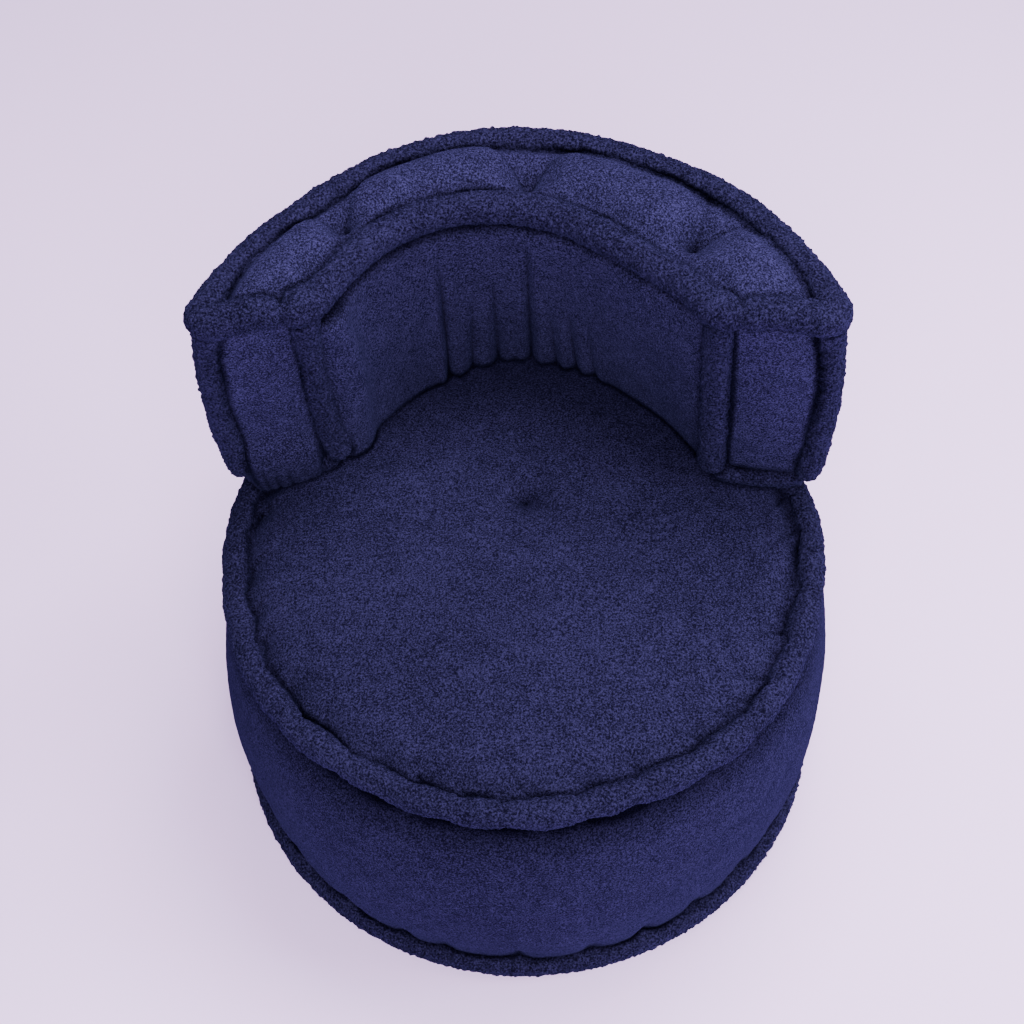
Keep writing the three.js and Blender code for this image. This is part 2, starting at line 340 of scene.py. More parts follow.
# line: the roll's middle. outward: the side away from the stuffing at each point of it.
# shape: how the roll swells there. The groove and the bites sit at angles from outward to up.
def makeRoll(name, line, outward, closed, look, shape=1):
    gaps = np.linalg.norm(np.diff(line, axis=0, append=line[:1] if closed else line[-1:]), axis=1)
    along = np.concatenate([[0], np.cumsum(gaps)[:-1]])
    length = float(gaps.sum())
    tangent = unit(headingOf(line, closed))
    out = unit(outward - tangent * np.sum(outward * tangent, axis=1)[:, None])
    up = np.cross(tangent, out)
    up *= np.sign(look.get("upSign", np.sign(up[:, 2].sum()) or 1))
    sway = lumps(np.stack([along, along * 0, along * 0 + look["seed"]], 1), look["swayLength"], 3)
    swell = shape * (1 + look["sway"] * sway)
    if not closed:
        fromEnd = np.minimum(along, length - along) / look["radius"]
        swell = swell * np.sqrt(np.clip(1 - (1 - np.clip(fromEnd, 0, 1)) ** 2, 0.05, 1))
    values = {"pathPlace": line, "swell": swell}
    for kind in ("groove", "bite"):
        rule = look[kind]
        places = stitchPlaces(length, look["step"], look["seed"] + rule["seed"])
        atStitch = stitchPull(along, length, places, rule["reach"], closed)
        pull = rule["depth"] * (rule["even"] + (1 - rule["even"]) * atStitch)
        angle = np.radians(rule["angle"] + rule["swing"] * (stitchSaw(along, length, places) - 0.5))
        values[kind] = (out * np.cos(angle)[:, None] + up * np.sin(angle)[:, None]) * pull[:, None]
    count = len(line)
    edges = [(i, (i + 1) % count) for i in range(count if closed else count - 1)]
    made = linkMesh(name, line, edges, [])
    for key, kind in pathValues.items():
        store = made.data.attributes.new(key, kind, "POINT").data
        numbers = np.asarray(values[key], np.float32).ravel()
        store.foreach_set("value" if kind == "FLOAT" else "vector", numbers)
    modifier = made.modifiers.new("stuffedRoll", "NODES")
    modifier.node_group = rollTree
    for label, value in (("Radius", look["radius"]), ("Sides", look["sides"]), ("Nub Height", look["nub"]),
                         ("Nub Size", look["nubSize"]), ("Seed", float(look["seed"])), ("Pile", rollPile)):
        modifier[rollSockets[label]] = value
    settle(made)
    for key in pathValues:
        made.data.attributes.remove(made.data.attributes[key])
    faceOutwards(made)


# Points at even steps along a line that was given by a few points
def evenLine(points, pitch, closed, soften):
    points = np.asarray(points, float)
    if closed:
        points = np.vstack([points, points[:1]])
    run = np.concatenate([[0], np.cumsum(np.linalg.norm(np.diff(points, axis=0), axis=1))])
    count = max(8, int(run[-1] / pitch))
    at = np.linspace(0, run[-1], count, endpoint=not closed)
    line = np.stack([np.interp(at, run, points[:, k]) for k in range(3)], axis=1)
    half = max(1, int(soften / pitch))
    weights = hill(np.arange(-2 * half, 2 * half + 1), half)
    weights /= weights.sum()
    smooth = np.empty_like(line)
    for k in range(3):
        if closed:
            longer = np.concatenate([line[-2 * half:, k], line[:, k], line[:2 * half, k]])
        else:
            before = 2 * line[0, k] - line[1:2 * half + 1, k][::-1]
            after = 2 * line[-1, k] - line[-2 * half - 1:-1, k][::-1]
            longer = np.concatenate([before, line[:, k], after])
        smooth[:, k] = np.convolve(longer, weights, mode="valid")
    return smooth


rollLook = {
    "radius": 0.016, "sides": 60, "pitch": 0.0017, "sway": 0.05, "swayLength": 0.05, "nub": 0.0038,
    "nubSize": 0.0044, "step": 0.066,
    "groove": {"angle": 150, "swing": 20, "depth": 0.0025, "even": 0.5, "reach": 0.02, "seed": 0},
    "bite": {"angle": 255, "swing": 0, "depth": 0.005, "even": 0.0, "reach": 0.009, "seed": 31},
}


# A ring that wavers a little, as one sewn by hand
def ringLine(radius, height, waver, pitch):
    turns = np.linspace(0, 2 * math.pi, 500, endpoint=False)
    away = radius + waver * np.sin(7 * turns + 0.6)
    heights = height + 0.8 * waver * np.sin(5 * turns + 1.9)
    return evenLine(roundAxis(away, turns, heights), pitch, True, 0.004)


def fromAxis(line):
    return unit(line * (1, 1, 0))


# Outwards of the band that a roll runs round
def fromBand(line, closed):
    return unit(np.cross(headingOf(line, closed), (0, 0, 1)))


seatRim = {**rollLook, "line": 0.284, "height": 0.317, "waver": 0.0016, "seed": 4, "nub": 0.0028,
           "step": 0.058,
           "groove": {"angle": 150, "swing": 14, "depth": 0.0085, "even": 0.1, "reach": 0.012, "seed": 0},
           "bite": {"angle": 312, "swing": 0, "depth": 0.0085, "even": 0.0, "reach": 0.014, "seed": 31}}
rimLine = ringLine(seatRim["line"], seatRim["height"], seatRim["waver"], seatRim["pitch"])
makeRoll("seatTopRoll", rimLine, fromAxis(rimLine), True, seatRim)

seatBase = {**rollLook, "line": 0.296, "height": 0.0145, "seed": 9, "pitch": 0.0018, "sides": 56,
            "bite": {"angle": 95, "swing": 0, "depth": 0.004, "even": 0.0, "reach": 0.012, "seed": 31}}
baseLine = ringLine(seatBase["line"], seatBase["height"], 0, seatBase["pitch"])
makeRoll("seatBottomRoll", baseLine, fromAxis(baseLine), True, seatBase)
print("seat rolls made")

# Long lines of the backrest, as in the solids: degrees from +X and millimetres from the axis
backLines = {
    "outerTop": {"right": 50, "left": 63, "z": 0.596, "rows": (
        (10, 291), (18, 289), (30, 286), (45, 287), (61, 283), (77, 289), (96, 292), (115, 287),
        (135, 279), (154, 286), (168, 292))},
    "innerTop": {"right": 60, "left": 78, "z": 0.596, "rows": (
        (19, 188), (27, 188), (36, 182), (46, 178), (57, 179), (70, 188), (80, 197), (91, 204),
        (101, 209), (115, 213), (129, 210), (140, 205), (149, 203), (158, 205))},
    "outerFoot": {"right": 68, "left": 92, "z": 0.349, "rows": (
        (12, 292), (40, 285), (90, 284), (140, 285), (163, 292))},
    "innerFoot": {"right": 82, "left": 112, "z": 0.349, "rows": (
        (22, 210), (36, 212), (56, 221), (68, 231), (79, 240), (90, 248), (102, 238), (114, 224),
        (128, 214), (141, 210), (150, 214))},
}
bendReach = {"outer": 0.020, "inner": 0.030}
footEnd = 0.32  # how far the foot roll comes forward at the inner corners, as a share of the end's width


# Places on one long line: along is 0 at its right end and 1 at its left end
def onBackLine(name, along):
    rule = backLines[name]
    angles, radii = np.array(rule["rows"], float).T
    start = math.asin(rule["right"] / radii[0])
    end = math.pi - math.asin(rule["left"] / radii[-1])
    angle = start + (end - start) * np.asarray(along, float)
    fine = np.arange(angles[0] - 10, angles[-1] + 10, 0.5)
    weights = hill(np.arange(-16, 17), 7)
    smooth = np.convolve(np.pad(np.interp(fine, angles, radii), 16, "edge"), weights / weights.sum(), "valid")
    return roundAxis(np.interp(np.degrees(angle), fine, smooth) / 1000, angle, rule["z"])


# A round bend at a corner, on the way from one point to another
def bend(fromPoint, corner, toPoint, reach):
    start = (fromPoint - corner) / np.linalg.norm(fromPoint - corner) * reach
    end = (toPoint - corner) / np.linalg.norm(toPoint - corner) * reach
    half = math.acos(np.dot(start, end) / reach ** 2) / 2
    middle = (start + end) / np.linalg.norm(start + end) * reach / math.cos(half)
    points = []
    for share in np.linspace(0, 1, 9):
        spoke = start + (end - start) * share - middle
        points.append(spoke / np.linalg.norm(spoke) * reach * math.tan(half) + middle + corner)
    return points


# The way round a horseshoe panel: its outer side and ends, and its inner side when closed
def panelLine(outer, inner, closed):
    outerRight, outerLeft = onBackLine(outer, 0), onBackLine(outer, 1)
    innerRight, innerLeft = onBackLine(inner, 0), onBackLine(inner, 1)
    points = [] if closed else [innerRight, outerRight * footEnd + innerRight * (1 - footEnd)]
    points += bend(innerRight, outerRight, onBackLine(outer, 0.05), bendReach["outer"])
    points += list(onBackLine(outer, np.linspace(0.06, 0.94, 80)))
    points += bend(onBackLine(outer, 0.95), outerLeft, innerLeft, bendReach["outer"])
    if not closed:
        return points + [outerLeft * footEnd + innerLeft * (1 - footEnd), innerLeft]
    points += bend(outerLeft, innerLeft, onBackLine(inner, 0.92), bendReach["inner"])
    points += list(onBackLine(inner, np.linspace(0.93, 0.07, 60)))
    return points + bend(onBackLine(inner, 0.08), innerRight, outerRight, bendReach["inner"])


# The top roll bunches where its ends meet at the inner corners, behind a deep stitch
backTop = {**rollLook, "radius": 0.0158, "seed": 14, "sway": 0.06,
           "groove": {"angle": 158, "swing": 10, "depth": 0.002, "even": 0.6, "reach": 0.02, "seed": 0},
           "bite": {"angle": 238, "swing": 0, "depth": 0.005, "even": 0.0, "reach": 0.010, "seed": 31},
           "lumpSwell": 0.22, "lumpReach": 0.016, "notch": 0.42, "notchReach": 0.0045, "notchAway": 0.021,
           "cornerSwell": 0.16, "cornerReach": 0.018, "cornerOut": 0.006, "rise": 0.008, "riseReach": 0.034}
topLine = evenLine(panelLine("outerTop", "innerTop", True), backTop["pitch"], True, 0.006)
bunches = np.ones(len(topLine))
for end in (0, 1):
    corner, inside = onBackLine("outerTop", end), onBackLine("innerTop", end)
    near = hill(np.linalg.norm(topLine - corner, axis=1), backTop["cornerReach"])
    bunches += backTop["cornerSwell"] * near
    topLine += near[:, None] * np.array([math.copysign(1, corner[0]), -0.5, 0]) * backTop["cornerOut"]
    fromMiddle = np.linalg.norm(topLine - (corner + inside) / 2, axis=1)
    topLine[:, 2] += backTop["rise"] * hill(fromMiddle, backTop["riseReach"])
topSteps = np.arange(len(topLine)) * backTop["pitch"]
for end, share, towards in ((0, 0.7, 1), (1, 1.0, -1)):
    corner = np.argmin(np.linalg.norm(topLine - onBackLine("innerTop", end), axis=1))
    offset = (topSteps - topSteps[corner]) * towards
    bunches += share * backTop["lumpSwell"] * hill(offset, backTop["lumpReach"])
    bunches -= share * backTop["notch"] * hill(offset - backTop["notchAway"], backTop["notchReach"])
makeRoll("backTopRoll", topLine, fromBand(topLine, True), True, backTop, bunches)

backFoot = {**rollLook, "radius": 0.0155, "seed": 23, "pitch": 0.0019, "sides": 54,
            "bite": {"angle": 190, "swing": 0, "depth": 0.003, "even": 0.0, "reach": 0.010, "seed": 31}}
footLine = evenLine(panelLine("outerFoot", "innerFoot", False), backFoot["pitch"], False, 0.006)
makeRoll("backBottomRoll", footLine, fromBand(footLine, False), False, backFoot)

upright = {**rollLook, "radius": 0.0155, "step": 0.075, "upSign": 1, "headInset": 0.01, "headLean": 0.06,
           "groove": {"angle": 120, "swing": 12, "depth": 0.0015, "even": 0.7, "reach": 0.02, "seed": 0},
           "bite": {"angle": 240, "swing": 0, "depth": 0.003, "even": 0.0, "reach": 0.012, "seed": 31}}
uprightRuns = {
    "backUprightRollOuterRight": {"end": 0, "line": "outer", "other": "inner", "bow": 0.009, "seed": 41},
    "backUprightRollInnerRight": {"end": 0, "line": "inner", "other": "outer", "bow": 0, "seed": 42},
    "backUprightRollInnerLeft": {"end": 1, "line": "inner", "other": "outer", "bow": 0.007, "seed": 43},
    "backUprightRollOuterLeft": {"end": 1, "line": "outer", "other": "inner", "bow": 0.009, "seed": 44},
}
for pieceName, run in uprightRuns.items():
    foot = onBackLine(run["line"] + "Foot", run["end"])
    inward = upright["headInset"] if run["end"] == 0 else 1 - upright["headInset"]
    head = (onBackLine(run["line"] + "Top", inward) * (1 - upright["headLean"])
            + onBackLine(run["other"] + "Top", inward) * upright["headLean"])
    middle = (foot + head) / 2 + np.array([math.copysign(run["bow"], foot[0]), 0, 0])
    share = np.linspace(0, 1, 60)[:, None]
    bent = (foot * (1 - share) * (1 - 2 * share) + middle * 4 * share * (1 - share)
            + head * share * (2 * share - 1))
    line = evenLine(bent, upright["pitch"], False, 0.004)
    side = math.copysign(1, foot[0]) * (1 if run["line"] == "outer" else -1)
    corner = np.tile(np.array([side, -1, 0]) / math.sqrt(2), (len(line), 1))
    makeRoll(pieceName, line, corner, False, {**upright, "seed": run["seed"]})
print("backrest rolls made")


# The seat's body: a turned profile made into an even fine mesh
seatSizes = {"rim": 0.284, "base": 0.296, "rimHeight": 0.317, "baseHeight": 0.014, "bulge": 0.025,
             "crown": 0.035, "edgeRise": 0.006, "edgeDip": 0.005, "dipAt": 0.270, "dipReach": 0.010,
             "topEdge": 0.278, "voxel": 0.0039, "rounds": 5, "topLumps": ((0.0020, 0.085, 71),),
             "lumps": ((0.0013, 0.06, 62), (0.0005, 0.008, 63))}
seatTuft = {"x": 0.005, "y": 0.055, "wells": ((0.009, 0.026), (0.005, 0.080)),
            "pit": 0.014, "pitReach": 0.009,
            "shade": 0.75, "dot": 0.0045, "hollow": 0.018, "hollowShare": 0.35}


# Height of the crowned top at a distance from the axis, before the tuft pulls it in
def crownAt(reach):
    share = np.clip(reach / seatSizes["rim"], 0, 1)
    rise = seatSizes["edgeRise"] + (seatSizes["crown"] - seatSizes["edgeRise"]) * (1 - share ** 4)
    return seatSizes["rimHeight"] + rise


def seatTopAt(x, y):
    height = crownAt(np.hypot(x, y))
    away = np.hypot(x - seatTuft["x"], y - seatTuft["y"])
    for depth, reach in seatTuft["wells"]:
        height = height - depth * hill(away, reach)
    return height - seatTuft["pit"] * peak(away, seatTuft["pitReach"])


rows = [(radius, 0.0) for radius in (0.0, 0.12, 0.2, 0.25, 0.28)]
for up in np.linspace(0, 1, 40):
    swell = seatSizes["bulge"] * arch(up, 0.8)
    rows.append((seatSizes["base"] + (seatSizes["rim"] - seatSizes["base"]) * up + swell,
                 seatSizes["baseHeight"] + (seatSizes["rimHeight"] - seatSizes["baseHeight"]) * up))
for radius in np.linspace(seatSizes["topEdge"], 0.0, 60):
    rows.append((radius, crownAt(radius)))
rows = np.array(rows)
turns = np.linspace(0, 2 * math.pi, 240, endpoint=False)
points = roundAxis(rows[None, :, 0], turns[:, None], rows[None, :, 1]).reshape(-1, 3)
faces = []
for i in range(len(turns)):
    here, there = i * len(rows), (i + 1) % len(turns) * len(rows)
    faces += [(here + j, there + j, there + j + 1, here + j + 1) for j in range(len(rows) - 1)]
seatCushion = linkMesh("seatCushion", points, [], faces)
faceOutwards(seatCushion, mergeWithin=0.00005)
even = seatCushion.modifiers.new("even", "REMESH")
even.mode = "VOXEL"
even.voxel_size = seatSizes["voxel"]
calm(seatCushion, seatSizes["rounds"])
faceOutwards(seatCushion)

# What the stitches do to the seat: a scalloped lip over the base roll, creases that rise from
# it, puckers below and inside the rim roll, and the tuft in the middle
drum = {
    "round": 0.3, "wall": (0.24, 0.285), "seed": 60, "sways": ((0.0025, 3, 1), (0.0015, 8, 0)),
    "lip": 0.040, "lipReach": 0.019, "lipOut": -0.002, "lipPull": 0.0065, "lipDrop": 0.003,
    "lipStep": 0.060, "lipStitch": 0.008,
    "crease": 0.0025, "creaseReach": 0.012, "creaseFoot": 0.03, "creaseLean": 0.08,
    "creaseTall": 0.05, "creaseUneven": 0.03,
    "topPull": 0.016, "topAt": 0.294, "topReach": 0.022, "topStitch": 0.014,
    # painted shadow bands on the wall under the rim roll: strength, height and reach
    "underShades": ((0.80, 0.290, 0.009), (0.38, 0.282, 0.022)),
    "rimAt": 0.266, "rimReach": 0.017, "rimRise": 0.009, "rimPull": 0.003, "rimStitch": 0.015,
    "rimSkew": 0.9, "rimSkewFrom": 0.27, "rimCalm": 0.6, "rimCalmReach": 0.55,
    "rimShade": 0.45, "rimShadeAt": 0.262, "rimShadeReach": 0.012, "rimShadeLine": 0.04,
}
points = pointsOf(seatCushion)
turn = np.arctan2(points[:, 1], points[:, 0])
reach = np.hypot(points[:, 0], points[:, 1])
out = roundAxis(1, turn, 0)
runLength = 2 * math.pi * drum["round"]
alongWall = (turn % (2 * math.pi)) * drum["round"]
onWall = ramp(reach, *drum["wall"]) * (points[:, 2] > 0.004)
sway = sum(size * np.sin(waves * turn + start) for size, waves, start in drum["sways"])
points += out * (onWall * sway * arch(points[:, 2] / seatSizes["rimHeight"]))[:, None]
lipPlaces = stitchPlaces(runLength, drum["lipStep"], drum["seed"])
lipPull = stitchPull(alongWall, runLength, lipPlaces, drum["lipStitch"])
lipPull *= 0.5 + 0.5 * np.sin(alongWall * 71) * np.sin(alongWall * 29 + 1)  # no two pull alike
nearLip = hill(points[:, 2] - drum["lip"], drum["lipReach"]) * onWall
points += out * (nearLip * (drum["lipOut"] - drum["lipPull"] * lipPull))[:, None]
points[:, 2] -= nearLip * drum["lipDrop"] * (1 - lipPull)
creases = np.zeros(len(points))
aboveFoot = points[:, 2] - drum["creaseFoot"]
for number, place in enumerate(lipPlaces):
    lean = drum["creaseLean"] * math.sin(number * 3.7)
    tall = drum["creaseTall"] + drum["creaseUneven"] * math.sin(number * 2.1)
    away = np.abs(alongWall - place + lean * aboveFoot)
    away = np.minimum(away, runLength - away)
    creases += hill(away, drum["creaseReach"]) * np.exp(-np.clip(aboveFoot, 0, None) / tall)
points -= out * (drum["crease"] * creases * onWall)[:, None]
underPlaces = stitchPlaces(runLength, seatRim["step"], seatRim["seed"] + seatRim["bite"]["seed"])
underPull = stitchPull(alongWall, runLength, underPlaces, drum["topStitch"])
nearTop = hill(points[:, 2] - drum["topAt"], drum["topReach"]) * onWall
points -= out * (nearTop * (drum["topPull"] * (0.6 + 0.4 * underPull)))[:, None]
rimPlaces = stitchPlaces(runLength, seatRim["step"], seatRim["seed"])
rimPull = stitchPull(alongWall, runLength, rimPlaces, drum["rimStitch"])
skewed = (alongWall + drum["rimSkew"] * (drum["rimSkewFrom"] - reach)) % runLength
rimSaw = stitchSaw(skewed, runLength, rimPlaces)
rimFolds = 1 - drum["rimCalm"] * hill(turn, drum["rimCalmReach"])  # weaker on the right
# painted shade: short dark lines on the seat top where it steps at each rim stitch
rimShade = drum["rimShade"] * rimFolds * hill(reach - drum["rimShadeAt"], drum["rimShadeReach"])
rimShade *= hill(np.minimum(rimSaw, 1 - rimSaw), drum["rimShadeLine"])
onTop = ramp(points[:, 2], 0.320, 0.328) * (1 - ramp(reach, 0.274, 0.284))
nearRim = hill(reach - drum["rimAt"], drum["rimReach"])
points[:, 2] += onTop * nearRim * rimFolds * (drum["rimRise"] * (rimSaw - 0.5) - drum["rimPull"] * rimPull)
points[:, 2] -= onTop * seatSizes["edgeDip"] * hill(reach - seatSizes["dipAt"], seatSizes["dipReach"])
points[:, 2] += onTop * lumpy(points, seatSizes["topLumps"])
points[:, 2] -= onTop * (crownAt(reach) - seatTopAt(points[:, 0], points[:, 1]))
away = np.hypot(points[:, 0] - seatTuft["x"], points[:, 1] - seatTuft["y"])
# painted shade: a dark dot and a soft dark hollow round the seat's tuft
tuftShade = hill(away, seatTuft["dot"]) + seatTuft["hollowShare"] * hill(away, seatTuft["hollow"])
seatShade = onTop * (rimShade + seatTuft["shade"] * tuftShade)
# painted shadow: dark bands on the wall just under the rim roll
for shade, height, fade in drum["underShades"]:
    seatShade += shade * onWall * hill(points[:, 2] - height, fade)
setPoints(seatCushion, points)
facing = normalsOf(seatCushion)
aboveFloor = ramp(points[:, 2], 0.004, 0.012)
points += facing * (aboveFloor * lumpy(points, seatSizes["lumps"]))[:, None]
points[:, 2] = np.maximum(points[:, 2], 0)
setPoints(seatCushion, points)
dress(seatCushion, seatPile)
print("seat cushion made")


# A closed box of fine quads, with each point's share along, across and up
def boxShell(counts):
    sheets = []
    for axis in range(3):
        u, v = (axis + 1) % 3, (axis + 2) % 3
        i, j = np.meshgrid(np.arange(counts[u]), np.arange(counts[v]), indexing="ij")
        for end in (0, counts[axis]):
            corners = np.zeros(i.shape + (4, 3), int)
            corners[..., axis] = end
            for number, (du, dv) in enumerate(((0, 0), (1, 0), (1, 1), (0, 1))):
                corners[..., number, u] = i + du
                corners[..., number, v] = j + dv
            sheets.append(corners.reshape(-1, 4, 3))
    spots, index = np.unique(np.concatenate(sheets).reshape(-1, 3), axis=0, return_inverse=True)
    return spots / np.array(counts), index.reshape(-1, 4)


backSizes = {
    "counts": (340, 36, 96), "rounds": 6,
    "innerBulge": 0.012, "outerBulge": 0.015, "outerBow": 0.009, "endBulge": 0.014,
    "puff": 0.026, "dip": 0.006, "dipAt": 0.17, "dipReach": 0.055, "width": 0.088,
    "footDrop": 0.026, "seatSink": 0.004,
    "leftCover": 0.014, "footCover": 0.0135,
    "middleRadius": 0.235, "innerRadius": 0.215, "leftLength": 0.65,
    "lumps": ((0.0014, 0.055, 82), (0.0005, 0.007, 83)),
}
# across is 0 at the inner side and 1 at the outer side. folds are (direction, depth).
tufts = (
    {"angle": 42, "across": 0.40, "depth": 0.030, "reach": 0.027, "pit": 0.012, "lean": 0.15,
     "folds": ((62, 0.008), (118, 0.007), (-40, 0.003), (205, 0.003))},
    {"angle": 86.5, "across": 0.40, "depth": 0.032, "reach": 0.028, "pit": 0.014, "lean": 0.0,
     "folds": ((46, 0.010), (136, 0.010), (-60, 0.003), (240, 0.003))},
    {"angle": 131, "across": 0.43, "depth": 0.028, "reach": 0.026, "pit": 0.012, "lean": -0.25,
     "folds": ((50, 0.006), (122, 0.008), (-35, 0.003), (215, 0.003))},
)
# Narrow gathers low in the inner wall. lean is in degrees from foot to top.
pleats = (
    {"angle": 108.5, "depth": 0.012, "top": 0.80, "lean": 4.0},
    {"angle": 101.5, "depth": 0.007, "top": 0.52, "lean": 0.5},
    {"angle": 95.0, "depth": 0.009, "top": 0.56, "lean": 2.5},
    {"angle": 86.5, "depth": 0.011, "top": 0.82, "lean": 0.5},
    {"angle": 80.5, "depth": 0.007, "top": 0.40, "lean": 3},
    {"angle": 75.0, "depth": 0.008, "top": 0.46, "lean": 2},
    {"angle": 69.5, "depth": 0.005, "top": 0.42, "lean": 2},
)
pleatLook = {"reach": 0.0030, "bank": 0.35, "bankAt": 0.009, "bankReach": 0.0055, "line": 0.0016,
             "darkest": 0.011}
puckerLook = {"height": 0.0022, "size": 0.016, "seed": 84, "least": 0.35, "between": (0.45, 0.85)}
tuftLook = {"broad": 0.7, "narrow": 0.3, "narrowReach": 0.02, "stitch": 0.5, "stitchReach": 0.006,
            "valleyEdge": (-0.003, 0.005), "valleyStart": (-0.010, 0.004), "valleyFade": 0.05,
            "dot": 0.005, "dotShade": 0.8}
foldLook = {"reach": 0.0045, "fade": 0.028, "line": 0.0018, "darkest": 0.009}
# pull and painted shade where the inner wall meets the top roll, and painted shade at its foot
wallSeam = {"at": 0.892, "reach": 0.024, "pull": 0.005, "shade": 0.9, "footShade": 0.6, "footReach": 0.07}
endSeams = {"places": (0.15, 0.87), "reach": 0.024, "shade": 0.85, "pull": 0.002}
# Small gathers at the foot of the left end: place across, and depth
footGathers = {"places": ((0.50, 0.003), (0.64, 0.005), (0.74, 0.005), (0.82, 0.006)), "reach": 0.018,
               "line": 0.014, "height": 0.12, "shade": 0.6, "footShade": 0.4, "footReach": 0.16}
shares, quads = boxShell(backSizes["counts"])
along, across, up = shares.T
inner = onBackLine("innerFoot", along) * (1 - up)[:, None] + onBackLine("innerTop", along) * up[:, None]
outer = onBackLine("outerFoot", along) * (1 - up)[:, None] + onBackLine("outerTop", along) * up[:, None]
points = inner * (1 - across)[:, None] + outer * across[:, None]
turn = np.arctan2(points[:, 1], points[:, 0])
degrees = np.degrees(turn)
out = roundAxis(1, turn, 0)
nearEnd = ramp(np.minimum(along, 1 - along), 0, 0.09)
belly = arch(up, 0.8)
# the inner wall comes forward over the left corner's roll, so no seam shows there
fromLeft = (1 - along) * backSizes["leftLength"]
leftCover = backSizes["leftCover"] * ramp(fromLeft, 0.001, 0.016) * (1 - ramp(fromLeft, 0.03, 0.085))
leftCover *= (across == 0) * (1 - ramp(up, 0.84, 0.94))
innerSide = -backSizes["innerBulge"] * belly * nearEnd - leftCover
outerSide = belly * (backSizes["outerBow"] + (backSizes["outerBulge"] - backSizes["outerBow"]) * nearEnd)
points += out * (innerSide * (1 - across) + outerSide * across)[:, None]
atEnd = (along == 0) | (along == 1)
fullness = np.where(across > 0.5, 0.35, 0.7)
points[:, 1] -= atEnd * backSizes["endBulge"] * arch(across, fullness) * arch(up, 0.5)
# at the left end the panel comes down over the foot roll and hides it
overFoot = (along == 1) * (1 - ramp(up, 0.12, 0.30))
overFoot = overFoot * ramp(across, 0.10, 0.22) * (1 - ramp(across, 0.84, 0.96))
points[:, 1] -= overFoot * backSizes["footCover"]
crossing = arch(across, 0.7)
endFade = np.clip(np.minimum(degrees - 12, 166 - degrees) / 14, 0, 1) ** 0.5
puff = backSizes["puff"] * crossing * endFade


# How far each point lies from a tuft: round the backrest, outwards, and straight
def fromTuft(tuft):
    sideways = np.radians(degrees - tuft["angle"]) * backSizes["middleRadius"]
    outwards = (across - tuft["across"]) * backSizes["width"]
    return sideways, outwards, np.hypot(sideways, outwards)


for tuft in tufts:
    sideways, outwards, away = fromTuft(tuft)
    hollow = (tuftLook["broad"] * hill(away, tuft["reach"])
              + tuftLook["narrow"] * peak(away, tuftLook["narrowReach"]))
    puff -= tuft["depth"] * crossing * hollow
    # a valley that opens from the tuft towards the outer roll, between two domes
    valley = ramp(outwards - np.abs(sideways - tuft["lean"] * outwards), *tuftLook["valleyEdge"])
    valley *= ramp(outwards, *tuftLook["valleyStart"])
    valley *= np.exp(-np.clip(outwards, 0, None) / tuftLook["valleyFade"])
    puff -= tuft["pit"] * crossing * valley
puff -= backSizes["dip"] * hill(np.abs(across - 0.5) - 0.5 + backSizes["dipAt"], backSizes["dipReach"])
points[:, 2] += up * puff - backSizes["footDrop"] * (1 - up) ** 4
seatTop = seatTopAt(points[:, 0], points[:, 1]) - backSizes["seatSink"]
points[:, 2] = np.where(up < 0.12, np.maximum(points[:, 2], seatTop), points[:, 2])
backCushion = linkMesh("backCushion", points, [], quads.tolist())
faceOutwards(backCushion)
calm(backCushion, backSizes["rounds"])
points = pointsOf(backCushion)

# painted shade gathered in the folds, tufts, pleats and seams, added to the crease attribute below
foldShade = np.zeros(len(points))
onTop = ramp(up, 0.97, 1.0) * ramp(across, 0.02, 0.14) * (1 - ramp(across, 0.86, 0.98))
for tuft in tufts:
    sideways, outwards, away = fromTuft(tuft)
    points[:, 2] -= onTop * tuft["pit"] * tuftLook["stitch"] * peak(away, tuftLook["stitchReach"])
    # painted shade: a dark dot at each tuft and dark lines down its folds
    foldShade += onTop * tuftLook["dotShade"] * hill(away, tuftLook["dot"])
    for direction, depth in tuft["folds"]:
        course, tilt = math.cos(math.radians(direction)), math.sin(math.radians(direction))
        ahead, aside = sideways * course + outwards * tilt, outwards * course - sideways * tilt
        strength = onTop * ramp(ahead, -0.004, 0.004) * np.exp(-np.clip(ahead, 0, None) / foldLook["fade"])
        points[:, 2] -= depth * strength * peak(aside, foldLook["reach"])
        foldShade += strength * hill(aside, foldLook["line"]) * depth / foldLook["darkest"]
onInner = (across == 0) * ramp(degrees, 30, 40) * (1 - ramp(degrees, 140, 150)) * (1 - ramp(up, 0.93, 1))
for pleat in pleats:
    away = np.radians(degrees - pleat["angle"] - pleat["lean"] * (up - 0.2)) * backSizes["innerRadius"]
    tall = onInner * np.clip(1 - up / pleat["top"], 0, 1) ** 0.6 * ramp(up, -0.1, 0.08)
    beside = hill(np.abs(away) - pleatLook["bankAt"], pleatLook["bankReach"])
    course = peak(away, pleatLook["reach"]) - pleatLook["bank"] * beside
    points += out * (tall * pleat["depth"] * course)[:, None]
    # painted shade along each pleat's line
    foldShade += tall * hill(away, pleatLook["line"]) * pleat["depth"] / pleatLook["darkest"]
pullIn = (across == 0) * hill(up - wallSeam["at"], wallSeam["reach"])
points += out * (wallSeam["pull"] * pullIn)[:, None]
# painted shade: a dark band where the inner wall meets the top roll, and darker towards the wall's foot at
# the seat
foldShade += wallSeam["shade"] * pullIn
foldShade += wallSeam["footShade"] * (across == 0) * hill(up, wallSeam["footReach"])
